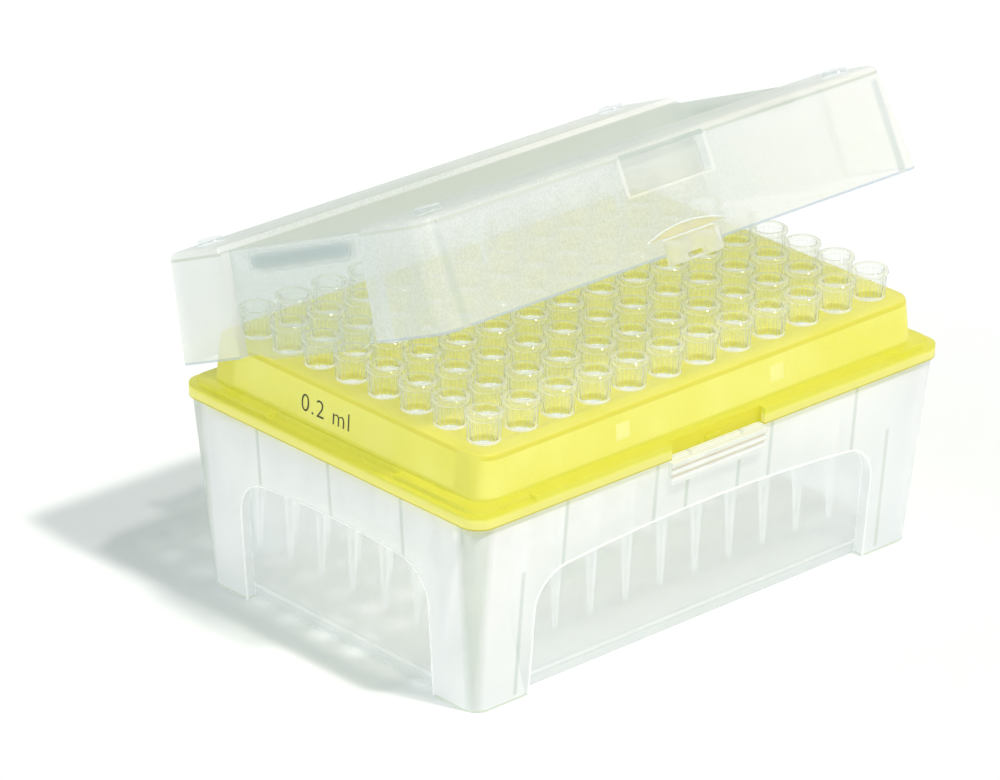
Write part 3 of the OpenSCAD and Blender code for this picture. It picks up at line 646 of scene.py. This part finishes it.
def turnedTip():
    bm = bmesh.new()
    ring = [bm.verts.new((r * mm, 0, z * mm)) for r, z in tipLook["profile"]]
    edges = [bm.edges.new((a, b)) for a, b in zip(ring, ring[1:] + ring[:1])]
    bmesh.ops.spin(bm, geom=edges, cent=(0, 0, 0), axis=(0, 0, 1), angle=math.tau, steps=tipLook["steps"],
                   use_merge=True)
    bmesh.ops.remove_doubles(bm, verts=bm.verts, dist=0.001 * mm)
    bmesh.ops.recalc_face_normals(bm, faces=bm.faces)
    for face in [f for f in bm.faces if isRib(f.calc_center_median() / mm)]:
        out = face.normal.copy()
        raised = bmesh.ops.extrude_discrete_faces(bm, faces=[face])["faces"]
        bmesh.ops.translate(bm, vec=out * tipLook["ribOut"] * mm, verts=raised[0].verts)
    for face in bm.faces:
        face.material_index = tipRegion(face.calc_center_median() / mm)
    mesh = bpy.data.meshes.new("tip")
    bm.to_mesh(mesh)
    bm.free()
    return mesh


def thinClear(name, look):
    # a thin clear wall: see-through face on, white where it is seen edge on, with a gloss skin
    material, tree = startMaterial(name)
    place = inMillimetres(tree)
    color = {"Color": linear(look["color"])}
    flow = addNode(tree, "ShaderNodeTexNoise", {"Scale": 1 / tipLook["flowSize"], "Detail": 1.0},
                   {"Vector": place})
    bump = addNode(tree, "ShaderNodeBump",
                   {"Strength": tipLook["flowStrength"], "Distance": tipLook["flowDepth"] * mm},
                   {"Height": flow})
    edge = addNode(tree, "ShaderNodeLayerWeight", {"Blend": 0.5})
    rise = addNode(tree, "ShaderNodeMath", {"operation": "POWER", 1: look["power"]},
                   {0: edge.outputs["Facing"]})
    white = addNode(tree, "ShaderNodeMapRange", {"To Min": look["thin"], "To Max": look["edge"]},
                    {"Value": rise})
    front = addNode(tree, "ShaderNodeBsdfDiffuse", color)
    behind = addNode(tree, "ShaderNodeBsdfTranslucent", color)
    haze = addNode(tree, "ShaderNodeMixShader", {0: 0.5}, {1: front, 2: behind})
    # painted glow that brightens the wall
    if "lift" in look:
        led = addNode(tree, "ShaderNodeEmission", {"Strength": look["lift"], **color})
        haze = addNode(tree, "ShaderNodeAddShader", {}, {0: haze, 1: led})
    through = addNode(tree, "ShaderNodeBsdfTransparent", {"Color": linear(look["tint"])})
    clear = addNode(tree, "ShaderNodeMath", {"operation": "SUBTRACT", 0: 1.0}, {1: white})
    ray = addNode(tree, "ShaderNodeLightPath")
    lamp = addNode(tree, "ShaderNodeMath", {"operation": "MAXIMUM"},
                   {0: ray.outputs["Is Shadow Ray"], 1: ray.outputs["Is Diffuse Ray"]})
    soft = addNode(tree, "ShaderNodeMath", {"operation": "MULTIPLY", 1: look["lamps"]}, {0: lamp})
    inside = addNode(tree, "ShaderNodeNewGeometry")
    share = addNode(tree, "ShaderNodeMath", {"operation": "MAXIMUM"},
                    {0: clear, 1: inside.outputs["Backfacing"]})
    gloss = addNode(tree, "ShaderNodeBsdfGlossy",
                    {"Roughness": tipLook["roughness"], "Color": linear(tipLook["shadedGloss"])}, {"Normal": bump})
    body = addNode(tree, "ShaderNodeMixShader", {}, {0: share, 1: haze, 2: through})
    both = addNode(tree, "ShaderNodeMixShader", {},
                   {0: mirrorShare(tree, bump, look["gloss"]), 1: body, 2: gloss})
    lit = addNode(tree, "ShaderNodeMixShader", {}, {0: soft, 1: both, 2: through})
    addNode(tree, "ShaderNodeOutputMaterial", {}, {"Surface": lit})
    return material


print("tips")
tipMaterials = [thinClear(name, look) for name, look in tipLook["materials"].items()]
oneTip = turnedTip()
columns, rows, pitch = tipLook["columns"], tipLook["rows"], tipLook["pitch"]
for column in range(columns):
    bm = bmesh.new()
    for row in range(rows):
        old = len(bm.verts)
        bm.from_mesh(oneTip)
        bm.verts.ensure_lookup_table()
        x, y = (column - (columns - 1) / 2) * pitch, (row - (rows - 1) / 2) * pitch
        spot = Vector((x, y, tipLook["top"])) * mm
        turn = Matrix.Rotation(tipLook["turnByColumn"] * column + tipLook["turnByRow"] * row, 3, "Z")
        bmesh.ops.rotate(bm, verts=bm.verts[old:], cent=(0, 0, 0), matrix=turn)
        bmesh.ops.translate(bm, verts=bm.verts[old:], vec=spot)
    for face in bm.faces:
        face.smooth = True
    mesh = bpy.data.meshes.new("tips_%02d" % (column + 1))
    bm.to_mesh(mesh)
    bm.free()
    mesh.set_sharp_from_angle(angle=math.radians(38))
    for material in tipMaterials:
        mesh.materials.append(material)
    tips = addObject(mesh.name, mesh)
    tips.visible_shadow = tips.visible_diffuse = False  # clear walls this thin hold back next to no light
    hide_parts("tips_column_%02d" % (column + 1))
    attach(tips, "base")

# floor, lamps and camera

stageLook = {"floorSize": 8, "floor": "#f5fcfd", "floorLift": 0.05,
             "sky": "#f8fcff", "horizon": 1.2, "zenith": 0.0,
             # each lamp's strength, colour, angle across and the way that it stands
             "suns": {"key sun": (2.15, "#fff4ec", 4.0, (0.12, -0.56, 1.0)),
                      "card on the left": (0.85, "#fbfdff", 80.0, (-1.0, 0.1, 0.3))}}
print("stage")
bpy.ops.mesh.primitive_plane_add(size=stageLook["floorSize"])
floor = bpy.context.object
floor.name = "floor"
paper, tree = startMaterial("white paper sweep")
matte = addNode(tree, "ShaderNodeBsdfDiffuse", {"Color": linear(stageLook["floor"])})
ray = addNode(tree, "ShaderNodeLightPath")
seen = addNode(tree, "ShaderNodeMath", {"operation": "MAXIMUM"},
               {0: ray.outputs["Is Camera Ray"], 1: ray.outputs["Is Transmission Ray"]})
lift = addNode(tree, "ShaderNodeMath", {"operation": "MULTIPLY", 1: stageLook["floorLift"]}, {0: seen})
own = addNode(tree, "ShaderNodeEmission", {}, {"Strength": lift})
sheet = addNode(tree, "ShaderNodeAddShader", {}, {0: matte, 1: own})
addNode(tree, "ShaderNodeOutputMaterial", {}, {"Surface": sheet})
floor.data.materials.append(paper)

# a sky bright at the horizon and dark overhead, seen as plain white
world = bpy.data.worlds.new("studio")
bpy.context.scene.world = world
world.use_nodes = True
tree = world.node_tree
tree.nodes.clear()
ray = addNode(tree, "ShaderNodeLightPath")
seen = addNode(tree, "ShaderNodeMath", {"operation": "MAXIMUM"},
               {0: ray.outputs["Is Camera Ray"], 1: ray.outputs["Is Transmission Ray"]})
seenToo = addNode(tree, "ShaderNodeMath", {"operation": "MAXIMUM"}, {0: seen, 1: ray.outputs["Is Glossy Ray"]})
way = addNode(tree, "ShaderNodeTexCoord")
height = addNode(tree, "ShaderNodeSeparateXYZ", {}, {0: way.outputs["Generated"]})
strength = addNode(tree, "ShaderNodeMapRange", {"To Min": stageLook["horizon"], "To Max": stageLook["zenith"]},
                   {"Value": height.outputs["Z"]})
sky = addNode(tree, "ShaderNodeBackground", {"Color": linear(stageLook["sky"])}, {"Strength": strength})
white = addNode(tree, "ShaderNodeBackground", {"Color": (1, 1, 1, 1), "Strength": 1.0})
both = addNode(tree, "ShaderNodeMixShader", {}, {0: seenToo, 1: sky, 2: white})
addNode(tree, "ShaderNodeOutputWorld", {}, {"Surface": both})

for name, (energy, color, angle, source) in stageLook["suns"].items():
    lamp = bpy.data.lights.new(name, "SUN")
    lamp.energy = energy
    lamp.color = linear(color)[:3]
    lamp.angle = math.radians(angle)
    lampObject = addObject(name, lamp)
    lampObject.rotation_mode = "QUATERNION"
    lampObject.rotation_quaternion = Vector(source).to_track_quat("Z", "Y")

cameraLook = {"azimuth": -42.558, "elevation": 24.137, "roll": 0.439, "aside": -12.503, "above": -19.465,
              "away": 1057.06, "aim": 56.9, "lens": 201.95}
print("camera")
az, el, roll = (math.radians(cameraLook[k]) for k in ("azimuth", "elevation", "roll"))
back = Vector((math.sin(az) * math.cos(el), -math.cos(az) * math.cos(el), math.sin(el)))
across = Vector((math.cos(az), math.sin(az), 0))
level = Matrix((across, back.cross(across), back)).transposed()
turned = level @ Matrix.Rotation(roll, 3, "Z")
offset = Vector((cameraLook["aside"], cameraLook["above"], cameraLook["away"]))
place = turned @ offset + Vector((0, 0, cameraLook["aim"]))
camera = bpy.data.cameras.new("camera")
camera.sensor_width = 36
camera.lens = cameraLook["lens"]
camera.clip_start, camera.clip_end = 0.1, 20
cameraObject = addObject("camera", camera)
cameraObject.matrix_world = Matrix.Translation(place * mm) @ turned.to_4x4()
bpy.context.scene.camera = cameraObject
bpy.context.scene.view_settings.view_transform = "Standard"

# light crosses many clear walls before it comes out of the box again
cycles = bpy.context.scene.cycles
cycles.transparent_max_bounces = 128
cycles.max_bounces = 8
cycles.diffuse_bounces = 5
cycles.glossy_bounces = 3
cycles.transmission_bounces = 4
